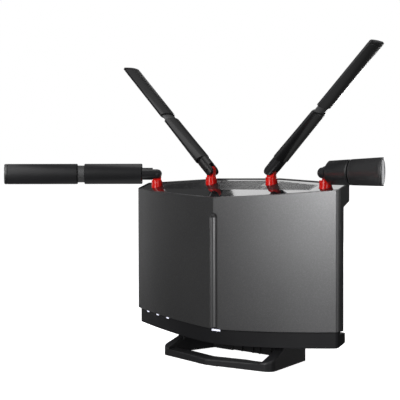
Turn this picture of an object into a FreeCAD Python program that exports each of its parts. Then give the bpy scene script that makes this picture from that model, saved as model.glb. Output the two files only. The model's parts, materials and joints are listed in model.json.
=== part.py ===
import FreeCAD, Part
import math
import os
import Sketcher
from FreeCAD import Placement, Rotation, Vector

# Upright desktop wireless router: a V-fronted housing with a sloped roof on a ring-shaped stand,
# and four paddle antennas that swivel, tilt and twist.
# X runs along the width, +Y to the back, +Z up. The origin lies on the desk, in the mirror plane,
# straight below the front crease of the housing, on the front foot pad.

DIMENSIONS = [
    ("body_width", 300, "overall width of the housing"),
    ("roof_rise", 188, "height of the roof plane at the front crease"),
    ("shell_rise", 39.2, "height of the shell's lower edge at the front crease"),
    ("slope", 0.34, "rise of the roof and of the lower edge for each mm to the back"),
    ("corner_back", 27.2, "distance of the front corners behind the crease"),
    ("panel_bow", 3, "outward bow of each front panel"),
    ("shell_return", 3.4, "depth of the shell's return round each front corner"),
    ("corner_round", 4.2, "radius of the shell's front corners"),
    ("wall", 2.4, "wall thickness of the housing"),
    ("seam", 0.2, "gap left between neighbouring covers"),
    ("side_back", 36.8, "distance of the rear wall's side corners behind the crease"),
    ("rear_back", 52.8, "distance of the flat rear wall behind the crease"),
    ("rear_half", 47, "half the width of the flat rear wall"),
    ("hood_depth", 10.7, "overhang of the hood behind the rear wall"),
    ("hood_rise", 157, "height of the hood's underside, carried forward to the crease"),
    ("hood_slope", 0.6, "rise of the hood's underside for each mm to the back"),
    ("band_height", 18.5, "height of the base band"),
    ("band_inset", 2.5, "set-back of the base band from the shell"),
    ("band_round", 4, "radius of the base band's upright corners"),
    ("band_flange", 9, "reach of the band's rear flange behind the side corners"),
    ("flange_top", 45.3, "height of the rear flange's level top"),
    ("cover_low", 48.6, "height of the rear cover's level lower edge"),
    ("groove_radius", 5.9, "radius of the half-round groove down the crease"),
    ("groove_out", 1.8, "distance of the groove's centre ahead of the crease"),
    ("groove_top", 165.2, "height of the centre of the groove's round top"),
    ("roof_sheet", 2.4, "thickness of the roof panel"),
    ("vent_sheet", 1.6, "thickness of the roof grille"),
    ("vent_front", 27.5, "front edge of the roof grille"),
    ("vent_side", 113, "half the width of the roof grille"),
    ("slot_pitch", 2.5, "pitch of the grille slots"),
    ("slot_width", 1.2, "width of the grille slots"),
    ("outer_out", 126, "distance of the outer antennas from the mirror plane"),
    ("outer_back", 38, "distance of the outer antennas behind the crease"),
    ("inner_out", 45.3, "distance of the inner antennas from the mirror plane"),
    ("inner_back", 48.5, "distance of the inner antennas behind the crease"),
    ("hinge_rise", 15, "height of an antenna's hinge above the roof panel"),
    ("spindle_snap", 9.3, "depth of the spindle's snap below the roof panel's top"),
    ("shoulder_drop", 8, "distance of the swivel base's shoulder below the hinge"),
    ("swivel_radius", 6.7, "radius of an antenna's swivel base"),
    ("spindle_radius", 4.5, "radius of the spindle under the swivel base"),
    ("turn_gap", 0.3, "clearance between turning pieces"),
    ("tongue_width", 10.2, "width of the swivel base's tongue"),
    ("tongue_sheet", 5, "thickness of the swivel base's tongue"),
    ("pin_radius", 1.5, "radius of an antenna's hinge pin"),
    ("neck_radius", 7.5, "radius of an antenna's neck"),
    ("ear_height", 11.3, "height of the neck's two ears"),
    ("neck_length", 18, "length of the neck past the hinge"),
    ("waist_start", 90.5, "start of the waist, measured from the hinge"),
    ("waist_end", 99, "end of the waist, measured from the hinge"),
    ("blade_end", 190.8, "end of the antenna, measured from the hinge"),
    ("cap_length", 3, "length of the tip cap"),
    ("blade_width", 25.2, "width of an antenna's blade"),
    ("blade_root", 14, "thickness of the blade at the neck"),
    ("blade_tip", 5.3, "thickness of the blade at its tip"),
    ("blade_edge", 2.4, "thickness of the blade's flat edges"),
    ("blade_wall", 1.3, "wall thickness of the blade's sleeves"),
    ("outer_swivel", 40.5, "forward swivel of the outer antennas"),
    ("inner_tilt", 46.3, "tilt of the inner antennas away from upright"),
    ("stand_half", 82, "half the width of the stand at its front"),
    ("stand_rear_half", 70, "half the width of the stand at its back"),
    ("stand_front", 14, "reach of the stand ahead of the crease"),
    ("stand_back", 84, "reach of the stand behind the crease"),
    ("stand_bar", 8.5, "height of the stand's front bar"),
    ("stand_arm", 13, "width of the stand's side arms"),
    ("stand_skirt", 5, "thickness of the stand's outer skirt"),
    ("stand_web", 4, "thickness of the stand's top above the hollow underneath"),
    ("stand_round", 2, "radius along the stand's outer top edge"),
    ("pad_lift", 0.8, "height of the stand above the desk, on its pads"),
    ("board_back", 31, "front face of the main board behind the crease"),
    ("board_sheet", 1.6, "thickness of the main board"),
    ("port_rise", 68, "height of the network sockets' centres"),
    ("port_pitch", 15.6, "pitch of the network sockets"),
    ("control_rise", 88, "height of the controls' centres"),
    ("screw_radius", 1.5, "radius of the screws' shanks"),
]

doc = FreeCAD.newDocument("WirelessRouter")
sheet = doc.addObject("Spreadsheet::Sheet", "Dims")
for row, (alias, value, note) in enumerate(DIMENSIONS, 1):
    sheet.set(f"A{row}", alias)
    sheet.set(f"B{row}", str(value))
    sheet.set(f"C{row}", note)
    sheet.setAlias(f"B{row}", alias)
doc.recompute()


class Size:
    """A length that carries both its number and the sheet expression that gives it."""

    def __init__(self, value, text):
        self.value = float(value)
        self.text = text

    def __add__(self, other):
        other = size(other)
        return Size(self.value + other.value, f"({self.text} + {other.text})")

    def __sub__(self, other):
        other = size(other)
        return Size(self.value - other.value, f"({self.text} - {other.text})")

    def __mul__(self, other):
        other = size(other)
        return Size(self.value * other.value, f"({self.text} * {other.text})")

    def __truediv__(self, other):
        other = size(other)
        return Size(self.value / other.value, f"({self.text} / {other.text})")

    def __neg__(self):
        return Size(-self.value, f"(0 - {self.text})")

    __radd__ = __add__
    __rmul__ = __mul__

    def __rsub__(self, other):
        return size(other) - self


def size(number):
    """A plain number, or a Size as it is."""
    return number if isinstance(number, Size) else Size(number, repr(float(number)))


def dim(alias):
    """A driving dimension of the sheet."""
    return Size(sheet.get(alias), f"Dims.{alias}")


def bind(item, name, number):
    """Set a property, and bind it to the sheet where it comes from there."""
    number = size(number)
    if "Dims." in number.text:
        item.setExpression(name, number.text)
    else:
        setattr(item, name, number.value)


def place(item, at, rotation=None):
    """Put an object at a point given in sizes, turned by a fixed rotation."""
    x, y, z = (size(n) for n in at)
    item.Placement = Placement(Vector(x.value, y.value, z.value), rotation or Rotation())
    for name, number in (("x", x), ("y", y), ("z", z)):
        if "Dims." in number.text:
            item.setExpression(f"Placement.Base.{name}", number.text)
    return item


ALONG_X = Rotation(Vector(0, 1, 0), 90)
ALONG_Y = Rotation(Vector(1, 0, 0), -90)


def box(low, lengths, name="Block"):
    """A block from its low corner."""
    item = doc.addObject("Part::Box", name)
    for prop, number in zip(("Length", "Width", "Height"), lengths):
        bind(item, prop, number)
    return place(item, low)


def centred_box(centre, lengths, name="Block"):
    """A block about its centre."""
    low = [size(c) - size(n) / 2 for c, n in zip(centre, lengths)]
    return box(low, lengths, name)


def rod(radius, length, at, rotation=None, name="Rod"):
    """A cylinder from the centre of its first face."""
    item = doc.addObject("Part::Cylinder", name)
    bind(item, "Radius", radius)
    bind(item, "Height", length)
    return place(item, at, rotation)


def fuse(items, label="Joined"):
    """One object from several solids."""
    item = doc.addObject("Part::MultiFuse", "Fuse")
    item.Shapes = items
    item.Label = label
    return item


def cut(base, tools, label="Cut"):
    """A solid with tools taken away."""
    item = doc.addObject("Part::Cut", "Cut")
    item.Base = base
    item.Tool = tools[0] if len(tools) == 1 else fuse(tools, f"{label} tools")
    item.Label = label
    return item


def common(first, second, label="Common"):
    """What two solids share."""
    item = doc.addObject("Part::Common", "Common")
    item.Base = first
    item.Tool = second
    item.Label = label
    return item


def body(label):
    """An empty body."""
    item = doc.addObject("PartDesign::Body", "Body")
    item.Label = label
    return item


def sketch(owner, corners, role="XY_Plane", lift=0):
    """A closed outline on one of the body's own planes; every corner is bound to the sheet.

    A corner is (x, y), or (x, y, bow) where the edge that leaves it is an arc bowed to its right.
    """
    item = owner.newObject("Sketcher::SketchObject", "Outline")
    plane = next(f for f in owner.Origin.OriginFeatures if f.Role == role)
    item.AttachmentSupport = [(plane, "")]
    item.MapMode = "FlatFace"
    lift = size(lift)
    item.AttachmentOffset = Placement(Vector(0, 0, lift.value), Rotation())
    if "Dims." in lift.text:
        item.setExpression("AttachmentOffset.Base.z", lift.text)
    corners = [tuple(size(n) for n in corner) for corner in corners]
    points = [Vector(c[0].value, c[1].value, 0) for c in corners]
    starts = []
    arcs = []
    for index, corner in enumerate(corners):
        here, there = points[index], points[(index + 1) % len(points)]
        if len(corner) == 3:
            run = there - here
            right = Vector(run.y, -run.x, 0).normalize()
            middle = (here + there) / 2 + right * corner[2].value
            edge = item.addGeometry(Part.Arc(here, middle, there), False)
        else:
            edge = item.addGeometry(Part.LineSegment(here, there), False)
        first = 1 if item.getPoint(edge, 1).distanceToPoint(here) < 1e-6 else 2
        starts.append((edge, first))
        if len(corner) == 3:
            arcs.append((edge, arc_radius(corner, corners[(index + 1) % len(corners)])))
    count = len(corners)
    for index, (edge, first) in enumerate(starts):
        following, follow_first = starts[(index + 1) % count]
        item.addConstraint(
            Sketcher.Constraint("Coincident", edge, 3 - first, following, follow_first)
        )
    for corner, (edge, first) in zip(corners, starts):
        for kind, number in zip(("DistanceX", "DistanceY"), corner):
            index = item.addConstraint(
                Sketcher.Constraint(kind, -1, 1, edge, first, number.value)
            )
            if "Dims." in number.text:
                item.setExpression(f"Constraints[{index}]", number.text)
    for edge, radius in arcs:
        index = item.addConstraint(Sketcher.Constraint("Radius", edge, abs(radius.value)))
        item.setExpression(f"Constraints[{index}]", f"abs({radius.text})")
    return item


def arc_radius(corner, following):
    """The radius of an arc from its two ends and its bow."""
    across = following[0] - corner[0]
    along = following[1] - corner[1]
    return (across * across + along * along) / (8 * corner[2]) + corner[2] / 2


def pad(owner, outline, length, symmetric=False):
    """Extrude an outline into the body."""
    item = owner.newObject("PartDesign::Pad", "Pad")
    item.Profile = outline
    bind(item, "Length", length)
    if symmetric:
        item.SideType = "Symmetric"
    outline.Visibility = False
    return item


def pocket(owner, outline, length, reverse=False):
    """Take an outline away from the body, to both sides unless reversed to one."""
    item = owner.newObject("PartDesign::Pocket", "Pocket")
    item.Profile = outline
    bind(item, "Length", length)
    item.SideType = "One side" if reverse else "Symmetric"
    item.Reversed = reverse
    return item


def mirrored(half):
    """An outline symmetric about the Y axis from its right half, listed from front to back."""
    left = [(-x, y) for x, y in reversed(half) if size(x).value > 0]
    return half + left


REACH = 300


def slanted_body(label, outline, low, high, low_slope=None, high_slope=None):
    """An upright prism cut by two planes that rise to the back.

    low and high are the planes' heights at the crease.
    """
    owner = body(label)
    slope = dim("slope")
    low_slope = slope if low_slope is None else size(low_slope)
    high_slope = slope if high_slope is None else size(high_slope)
    pad(owner, sketch(owner, outline), REACH)
    ends = (-REACH, REACH)
    above = [(y, size(high) + high_slope * y) for y in ends]
    above += [(REACH, 2 * REACH), (-REACH, 2 * REACH)]
    pocket(owner, sketch(owner, above, "YZ_Plane"), 2 * REACH)
    below = [(y, size(low) + low_slope * y) for y in reversed(ends)]
    below += [(-REACH, -REACH), (REACH, -REACH)]
    pocket(owner, sketch(owner, below, "YZ_Plane"), 2 * REACH)
    return owner


# Driving dimensions that several pieces share.
half_width = dim("body_width") / 2
wall = dim("wall")
seam = dim("seam")
slope = dim("slope")
bow = dim("panel_bow")
roof_rise = dim("roof_rise")
shell_rise = dim("shell_rise")
shell_end = dim("corner_back") + dim("shell_return")
panel_rise = roof_rise - 0.6
turn_gap = dim("turn_gap")


def front_line(inset):
    """The two bowed front panels in plan, from the left corner to the right one."""
    corner_y = dim("corner_back") + inset
    left = (inset - half_width, corner_y, bow)
    return [left, (0, inset, bow), (half_width - inset, corner_y)]


def rear_line(inset, deeper=0):
    """The rear wall in plan, from the right side to the left one."""
    side_y = dim("side_back") - inset * 0.8 + deeper
    flat_y = dim("rear_back") - inset + deeper
    flat_x = dim("rear_half") - inset * 0.1
    right = [(half_width - inset, side_y), (flat_x, flat_y)]
    return right + [(-x, y) for x, y in reversed(right)]


def build_front_shell():
    """One bowed V-shaped panel with a half-round groove down its crease."""
    boss_half, boss_back, boss_top = 7.5, 6, 176
    inside = dim("corner_back") + wall
    edge_x = half_width - wall
    boss_front = wall + 0.75
    inner_bow = bow * 0.93
    outline = front_line(0)
    outline += [(half_width, shell_end), (edge_x, shell_end), (edge_x, inside, -inner_bow)]
    outline += [(boss_half, boss_front), (boss_half, boss_back), (-boss_half, boss_back)]
    outline += [(-boss_half, boss_front, -inner_bow), (-edge_x, inside), (-edge_x, shell_end)]
    outline += [(-half_width, shell_end)]
    owner = slanted_body("front_shell", outline, shell_rise, roof_rise)
    groove = sketch_circle(owner, 0, -dim("groove_out"), dim("groove_radius"))
    pocket(owner, groove, dim("groove_top") * 2)
    dome = owner.newObject("PartDesign::SubtractiveSphere", "GrooveTop")
    bind(dome, "Radius", dim("groove_radius"))
    place(dome, (0, -dim("groove_out"), dim("groove_top")))
    notch = [(boss_half, wall), (boss_half, boss_back + 1)]
    notch += [(-boss_half, boss_back + 1), (-boss_half, wall)]
    pocket(owner, sketch(owner, notch, lift=boss_top), REACH, reverse=True)
    return round_corners(owner, [(half_width, dim("corner_back"))], dim("corner_round"))


def round_corners(owner, corners, radius):
    """Fillet a body's upright edges at some plan corners and at their mirror points."""
    doc.recompute()
    sharp = owner.Tip
    spots = [(size(x).value, size(y).value) for x, y in corners]
    names = []
    for index, edge in enumerate(sharp.Shape.Edges, 1):
        places = [(abs(v.Point.x), v.Point.y) for v in edge.Vertexes]
        for spot in spots:
            if len(places) == 2 and all(math.dist(p, spot) < 1e-3 for p in places):
                names.append(f"Edge{index}")
    fillet = owner.newObject("PartDesign::Fillet", "CornerRound")
    fillet.Base = (sharp, names)
    bind(fillet, "Radius", radius)
    return owner


def sketch_circle(owner, x, y, radius, role="XY_Plane"):
    """A circle on one of the body's own planes."""
    item = owner.newObject("Sketcher::SketchObject", "Circle")
    plane = next(f for f in owner.Origin.OriginFeatures if f.Role == role)
    item.AttachmentSupport = [(plane, "")]
    item.MapMode = "FlatFace"
    x, y, radius = size(x), size(y), size(radius)
    circle = Part.Circle(Vector(x.value, y.value, 0), Vector(0, 0, 1), radius.value)
    item.addGeometry(circle, False)
    item.addConstraint(Sketcher.Constraint("DistanceX", -1, 1, 0, 3, x.value))
    item.addConstraint(Sketcher.Constraint("DistanceY", -1, 1, 0, 3, y.value))
    index = item.addConstraint(Sketcher.Constraint("Radius", 0, radius.value))
    if "Dims." in radius.text:
        item.setExpression(f"Constraints[{index}]", radius.text)
    return item


band_top = shell_rise - seam
band_low = band_top - dim("band_height")


def band_outline(inset):
    """The base band in plan: bowed fronts that run into one round centre, and a rear flange."""
    total = dim("band_inset") + inset
    side_x = half_width - total
    corner_y = dim("corner_back") + total
    centre_x = 26
    centre_y = corner_y * 0.13 + total * 0.9
    flange_y = dim("side_back") + dim("band_flange") - inset
    rear_y = dim("rear_back") + dim("band_flange") - inset
    rear_x = dim("rear_half") - inset * 0.1
    outline = [(-side_x, corner_y, bow * 0.7), (-centre_x, centre_y, 1.6)]
    outline += [(centre_x, centre_y, bow * 0.7), (side_x, corner_y)]
    outline += [(side_x, flange_y), (rear_x, rear_y), (-rear_x, rear_y), (-side_x, flange_y)]
    return outline


def build_base_band():
    """The bottom tray: a floor, a front wall, a rear lip inside the cover, and a low rear flange."""
    outer = slanted_body("band blank", band_outline(0), band_low, band_top)
    corners = [band_outline(0)[3][:2], band_outline(0)[4]]
    round_corners(outer, corners, dim("band_round"))
    floor = band_low + wall
    room_plan = band_outline(wall)[:4] + rear_line(dim("band_inset") + wall)
    room = slanted_body("band room", room_plan, floor, band_top + 5)
    lip_x = half_width - wall - 0.3
    lip_plan = [(-lip_x, 0), (lip_x, 0)] + rear_line(wall + 0.3)
    lip = slanted_body("lip blank", lip_plan, 0, REACH * 0.9)
    above = box((-half_width, shell_end + 1, dim("flange_top")), (2 * half_width, 60, 60))
    step = cut(above, [lip], "step over the flange")
    lamp_seat = centred_box((0, 5, band_top - 1.4), (13, 14, 2.2))
    screws = [slanted_rod(1.6, -2, 12, spot) for spot in stand_screw_spots()]
    lights = [light_pill(x) for x in light_spots()]
    tools = [room, step, lamp_seat, *screws, *lights]
    return cut(outer, tools, "base_band")


def slanted_rod(radius, start, length, spot):
    """A rod square to the housing's sloped underside, from a distance above it."""
    x, y = spot
    lean = math.atan(slope.value)
    shift_y = -math.sin(lean) * start
    shift_z = math.cos(lean) * start
    at = (x, y + shift_y, band_low + slope * y + shift_z)
    return rod(radius, length, at, Rotation(Vector(1, 0, 0), math.degrees(lean)))


def light_spots():
    """The status lights' places across the left panel."""
    return [-127.5, -106.5, -85.5]


def band_front(x):
    """Distance of the base band's left front face behind the crease, at a place across."""
    (left_x, left_y, rise), (right_x, right_y, _) = band_outline(0)[:2]
    share = (x - left_x) / (right_x - left_x)
    return left_y + (right_y - left_y) * share - 4 * rise * share * (1 - share)


def light_pill(x):
    """One status light: a short pill set square into the band's front."""
    half_long, half_high, depth = 3.1, 1.2, 3.4
    front = band_front(x) - 0.25
    centre_z = shell_rise + slope * front - 2.1
    ends = [(x + side * (half_long - half_high), front, centre_z) for side in (-1, 1)]
    low = (x - half_long + half_high, front, centre_z - half_high)
    middle = box(low, (2 * (half_long - half_high), depth, 2 * half_high))
    return fuse([middle, *[rod(half_high, depth, at, ALONG_Y) for at in ends]], "light")


def stand_screw_spots():
    """The four screws that hold the stand to the base band, in plan."""
    return [(x, y) for y in (36, 50) for x in (-40, 40)]


def build_rear_cover():
    """Side walls, rear wall and the deeper hood under the roof, open to the front."""
    inner = rear_line(wall)
    wall_plan = [(half_width, shell_end + seam), *rear_line(0), (-half_width, shell_end + seam)]
    inner_front = [(x, shell_end + seam) for x in (-half_width + wall, half_width - wall)]
    wall_plan += [inner_front[0], *reversed(inner), inner_front[1]]
    walls = slanted_body("rear wall", wall_plan, dim("cover_low"), roof_rise, low_slope=0)
    hood_depth = dim("hood_depth")
    front = [(-half_width, shell_end + seam), (half_width, shell_end + seam)]
    hood_plan = front + rear_line(0, hood_depth)
    hood_rise, hood_slope = dim("hood_rise"), dim("hood_slope")
    hood = slanted_body("hood blank", hood_plan, hood_rise, roof_rise, low_slope=hood_slope)
    hollow_plan = [(wall - half_width, 0), (half_width - wall, 0)] + rear_line(wall, hood_depth)
    hood_floor = hood_rise + wall * 1.2
    hollow = slanted_body("hood hollow", hollow_plan, hood_floor, REACH * 0.9, hood_slope)
    inside_plan = [(wall - half_width, 0), (half_width - wall, 0)] + inner
    inside = slanted_body("room inside", inside_plan, 0, REACH * 0.9)
    tools = [hollow, inside, *rear_openings()]
    return cut(fuse([walls, hood], "rear blank"), tools, "rear_cover")


PANEL_HALF = 44
PANEL_LOW = 59.5
PANEL_HIGH = 98
SLOT_LONG, SLOT_HIGH, SLOT_STEP = 36, 2.4, 6
SLOT_COUNT, SLOT_LOW, SLOT_OUT = 9, 112, 22


def rear_openings():
    """The port opening and two fields of cooling slots through the rear wall."""
    back = dim("rear_back")
    panel = [2 * PANEL_HALF, 4 * wall, PANEL_HIGH - PANEL_LOW]
    tools = [centred_box((0, back, (PANEL_LOW + PANEL_HIGH) / 2), panel)]
    for row in range(SLOT_COUNT):
        for x in (-SLOT_OUT, SLOT_OUT):
            slot = (x, back, SLOT_LOW + row * SLOT_STEP)
            tools.append(centred_box(slot, (SLOT_LONG, 4 * wall, SLOT_HIGH)))
    screw_hole = dim("screw_radius") + 0.15
    tools += [rod(screw_hole, 4 * wall, (x, back - 2 * wall, z), ALONG_Y) for x, z in POST_SPOTS]
    return tools


def roof_plan(inset):
    """The roof in plan, inside the shell in front and inside the hood behind."""
    hood_depth = dim("hood_depth")
    front = front_line(inset)
    return front + rear_line(inset, hood_depth)


def vent_plan(inset):
    """The roof grille in plan."""
    side, front = dim("vent_side") - inset, dim("vent_front") + inset
    return mirrored([(side, front), (side, 43.5 - inset * 0.5), (dim("rear_half"), 57 - inset)])


def antenna_spots():
    """Plan positions of the four antennas, from left to right, with their side's sign."""
    outer = (dim("outer_out"), dim("outer_back"))
    inner = (dim("inner_out"), dim("inner_back"))
    return [(-outer[0], outer[1]), (-inner[0], inner[1]), inner, outer]


def roof_at(y):
    """Height of the roof panel's top at a distance behind the crease."""
    return panel_rise + slope * y


def build_roof_panel():
    """A glossy sheet with a seat for the grille and a round hole for each antenna."""
    low = panel_rise - dim("roof_sheet")
    plate = slanted_body("roof blank", roof_plan(wall + seam), low, panel_rise)
    seat_low = panel_rise - dim("vent_sheet")
    tools = [slanted_body("grille seat", vent_plan(0), seat_low, REACH / 1.5)]
    tools += [box((-33, 30, 150), (66, 24, 100)), box((56, 30, 150), (54, 11.5, 100))]
    tools += [box((-110, 30, 150), (54, 11.5, 100))]
    tools += [rod(antenna_hole(), 100, (x, y, 150)) for x, y in antenna_spots()]
    return cut(plate, tools, "roof_panel")


def antenna_hole():
    """Radius of the hole round a swivel base."""
    return dim("swivel_radius") + turn_gap + 0.1


def slot_rows():
    """Each slot row of the grille as its distance back and its stretches across."""
    side, pitch = dim("vent_side").value, dim("slot_pitch").value
    inner_x, inner_y = dim("inner_out").value, dim("inner_back").value
    base_room = antenna_hole().value + 2
    rows = []
    for index in range(11):
        y = dim("vent_front").value + 2.4 + index * pitch
        taper = max(0, y - 42) / 13.5
        reach = side - 3 - taper * (side - dim("rear_half").value)
        room = base_room if abs(y - inner_y) < base_room + 0.8 else 0.9
        middle = (room - inner_x, inner_x - room)
        rows.append((y, [middle]))
        if reach > inner_x + room + 2:
            rows[-1][1].extend([(inner_x + room, reach), (-reach, -inner_x - room)])
    return rows


def build_roof_vent():
    """A thin grille of slots across the roof."""
    low = panel_rise - dim("vent_sheet")
    plate = slanted_body("grille blank", vent_plan(0.1), low, panel_rise)
    tools = []
    for y, stretches in slot_rows():
        for start, end in stretches:
            tools.append(box((start, y, 150), (end - start, dim("slot_width"), 100)))
    for x, y in antenna_spots()[1:3]:
        tools.append(rod(antenna_hole(), 100, (x, y, 150)))
    return cut(plate, tools, "roof_vent")


def build_antenna_sockets():
    """A bored boss under the roof for each antenna's spindle."""
    low = panel_rise - dim("roof_sheet")
    sockets = []
    for x, y in antenna_spots():
        top = roof_at(y)
        boss = rod(8, 30, (x, y, top - dim("spindle_snap") + 0.3))
        tools = [rod(antenna_hole(), 40, (x, y, top - 3.5))]
        tools.append(rod(dim("spindle_radius") + turn_gap, 40, (x, y, top - 20)))
        sockets.append(cut(boss, tools, "socket blank"))
    slab = slanted_body("socket slab", roof_plan(wall + seam), 100, low)
    return common(fuse(sockets, "socket blanks"), slab, "antenna_sockets")


def build_swivel_base(label, pose):
    """The cylinder that turns in the roof, with a tongue above it and a snap spindle below."""
    drop = dim("shoulder_drop")
    reach = dim("hinge_rise") + 3.2
    snap = dim("hinge_rise") + dim("spindle_snap")
    radius, spindle = dim("swivel_radius"), dim("spindle_radius")
    width, thick = dim("tongue_width"), dim("tongue_sheet")
    solids = [
        rod(radius, reach - drop, (0, 0, -reach)),
        rod(spindle, snap - reach + 1, (0, 0, -snap - 1)),
        rod(5.8, 1.5, (0, 0, -snap - 1.5)),
        centred_box((0, 0, -drop / 2), (width, thick, drop)),
        rod(width / 2, thick, (0, -thick / 2, 0), ALONG_Y),
    ]
    pin_hole = rod(dim("pin_radius") + 0.08, 20, (0, -10, 0), ALONG_Y)
    lead_hole = rod(1.4, 20, (0, 0, -snap - 4))
    split = centred_box((0, 0, -snap), (14, 1.2, 10))
    base = cut(fuse(solids, "swivel blank"), [pin_hole, lead_hole, split], label)
    base.Placement = pose
    return base


def build_hinge_pin(label, pose):
    """The pin through the neck's ears and the base's tongue."""
    length = pin_length()
    shank = rod(dim("pin_radius"), length, (0, -length / 2, 0), ALONG_Y)
    head = rod(dim("pin_radius") + 0.6, 0.8, (0, length / 2 - 0.8, 0), ALONG_Y)
    pin = fuse([shank, head], label)
    pin.Placement = pose
    return pin


def pin_length():
    """The pin ends just inside the neck's round sides."""
    return 2 * dim("neck_radius") - 2.6


def build_neck(label, pose):
    """A round neck whose lower half is two flat-sided ears, with a spigot for the blade."""
    radius, length = dim("neck_radius"), dim("neck_length")
    ear = dim("ear_height") / 2
    step = 5.4
    collar = rod(radius, length - step, (0, 0, step))
    ear_stock = rod(radius, 2 * step + 2, (0, 0, -step - 1.6))
    flats = box((-ear, -10, 0), (2 * ear, 20, step))
    ends = rod(ear, 20, (0, -10, 0), ALONG_Y)
    ears = common(ear_stock, fuse([flats, ends], "ear outline"), "ears")
    spigot = rod(dim("spindle_radius"), 5, (0, 0, length))
    snap = rod(5.1, 1.6, (0, 0, length + 2.6))
    gap = dim("tongue_sheet") + 2 * 0.3
    slot = box((-10, -gap / 2, -10), (20, gap, 15.6))
    half_pin = pin_length() / 2
    pin_hole = rod(dim("pin_radius"), 2 * half_pin, (0, -half_pin, 0), ALONG_Y)
    head_seat = rod(dim("pin_radius") + 0.6, 4, (0, half_pin - 0.8, 0), ALONG_Y)
    lead_hole = rod(1.4, 40, (0, 0, 0))
    solids = fuse([collar, ears, spigot, snap], "neck blank")
    neck = cut(solids, [slot, pin_hole, head_seat, lead_hole], label)
    neck.Placement = pose
    return neck


def blade_thickness(along):
    """Thickness of the blade at a distance from the hinge: an even taper."""
    root, tip = dim("blade_root"), dim("blade_tip")
    start, end = dim("neck_length"), dim("blade_end")
    return root - (root - tip) * (size(along) - start) / (end - start)


def lens(owner, along, trim=0):
    """One lens-shaped section of the blade, wide along Y; trim draws it in all round."""
    half = dim("blade_width") / 2 - trim
    edge = dim("blade_edge") / 2 - size(trim) * 0.3
    rise = blade_thickness(along) / 2 - trim - edge
    left, right = (-edge, half, rise), (edge, -half, rise)
    return sketch(owner, [left, (-edge, -half), right, (edge, half)], lift=along)


def loft(owner, sections, kind="PartDesign::AdditiveLoft"):
    """A ruled loft through sections of the blade."""
    item = owner.newObject(kind, "Loft")
    item.Profile = sections[0]
    item.Sections = sections[1:]
    item.Ruled = True
    return item


def sleeve(label, start, end, closed_end):
    """A thin lens-shaped sleeve with softened ends, closed at its lower end by a wall."""
    owner = body(label)
    soft = 0.9
    stations = [(start, soft), (start + soft, 0), (end - soft, 0), (end, soft)]
    loft(owner, [lens(owner, along, trim) for along, trim in stations])
    thin = dim("blade_wall")
    inner = [lens(owner, start + closed_end, thin), lens(owner, end + 1, thin)]
    loft(owner, inner, "PartDesign::SubtractiveLoft")
    return owner


def build_blade(number, pose):
    """The blade's two sleeves, the waist between them, the tip cap and the element inside."""
    start, cap = dim("neck_length") + turn_gap, dim("cap_length")
    waist_start, waist_end, end = dim("waist_start"), dim("waist_end"), dim("blade_end")
    name = f"antenna_{number}"
    lower = sleeve(f"{name} lower blank", start, waist_start, 2)
    bore = rod(dim("spindle_radius") + turn_gap, 6, (0, 0, start - 1))
    lower = cut(lower, [bore], f"{name}_lower_sleeve")
    upper = sleeve(f"{name} upper blank", waist_end, end - cap, 2)
    slot = centred_box((0, 0, 140), (1.8, 13, 200))
    upper = cut(upper, [slot], f"{name}_upper_sleeve")
    waist = body(f"{name} waist blank")
    inset = 2.1
    loft(waist, [lens(waist, waist_start, inset), lens(waist, waist_end, inset)])
    waist = cut(waist, [centred_box((0, 0, 95), (1.8, 13, 40))], f"{name}_waist")
    tip = body(f"{name}_tip_cap")
    crown = [lens(tip, end - cap), lens(tip, end - 0.8, 0.1), lens(tip, end, 0.9)]
    loft(tip, crown)
    strip = centred_box((0, 0, 106), (1, 11, 160))
    lead_eye = rod(0.8, 4, (-2, 0, 30), ALONG_X)
    element = cut(strip, [lead_eye], f"{name}_element")
    for item in (lower, upper, waist, tip, element):
        item.Placement = pose
    return [lower, waist, upper, tip, element]


def antenna_pose(x, y, swivel, tilt=0, twist=0):
    """The pose of an antenna's local frame: its hinge at the origin, its blade along Z."""
    turn = Rotation(Vector(0, 0, 1), swivel)
    lean = Rotation(Vector(0, 1, 0), tilt)
    roll = Rotation(Vector(0, 0, 1), twist)
    hinge = Vector(x.value, y.value, (roof_at(y) + dim("hinge_rise")).value)
    return Placement(hinge, turn * lean * roll)


def build_antennas():
    """Four alike antennas: the outer pair level and swivelled forward, the inner pair leaning out."""
    forward = dim("outer_swivel").value
    lean = dim("inner_tilt").value
    settings = [(180 + forward, 90, 90), (180, lean, 0), (0, lean, 0), (-forward, 90, 90)]
    nodes = []
    for number, ((x, y), (swivel, tilt, twist)) in enumerate(zip(antenna_spots(), settings), 1):
        name = f"antenna_{number}"
        nodes.append(build_swivel_base(f"{name}_swivel_base", antenna_pose(x, y, swivel)))
        tilted = antenna_pose(x, y, swivel, tilt)
        nodes.append(build_hinge_pin(f"{name}_hinge_pin", tilted))
        nodes.append(build_neck(f"{name}_neck", tilted))
        nodes += build_blade(number, antenna_pose(x, y, swivel, tilt, twist))
    return nodes


def build_status_lights():
    """Three small pill-shaped lenses in the band's left front."""
    return fuse([light_pill(x) for x in light_spots()], "status_lights")


def build_centre_light():
    """A short light bar in the band, under the groove."""
    front = band_outline(0)[1][1] - 1.6
    return box((-6.4, front - 0.1, band_top - 2.4), (12.8, 4, 2), "centre_light")


BOARD_HALF = 82
BOARD_LOW, BOARD_HIGH = 54, 172
POST_SPOTS = [(x, z) for z in (104, 168) for x in (-43.2, 43.2)]
SHANK_LONG, HEAD_RADIUS, HEAD_HIGH = 12, 2.8, 1.6


def build_main_board():
    """The upright circuit board between the front panels and the rear wall."""
    back = dim("board_back")
    height = BOARD_HIGH - BOARD_LOW
    board = box((-BOARD_HALF, back, BOARD_LOW), (2 * BOARD_HALF, dim("board_sheet"), height))
    holes = [rod(1.7, 10, (x, back - 4, z), ALONG_Y) for x, z in POST_SPOTS]
    return cut(board, holes, "main_board")


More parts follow.
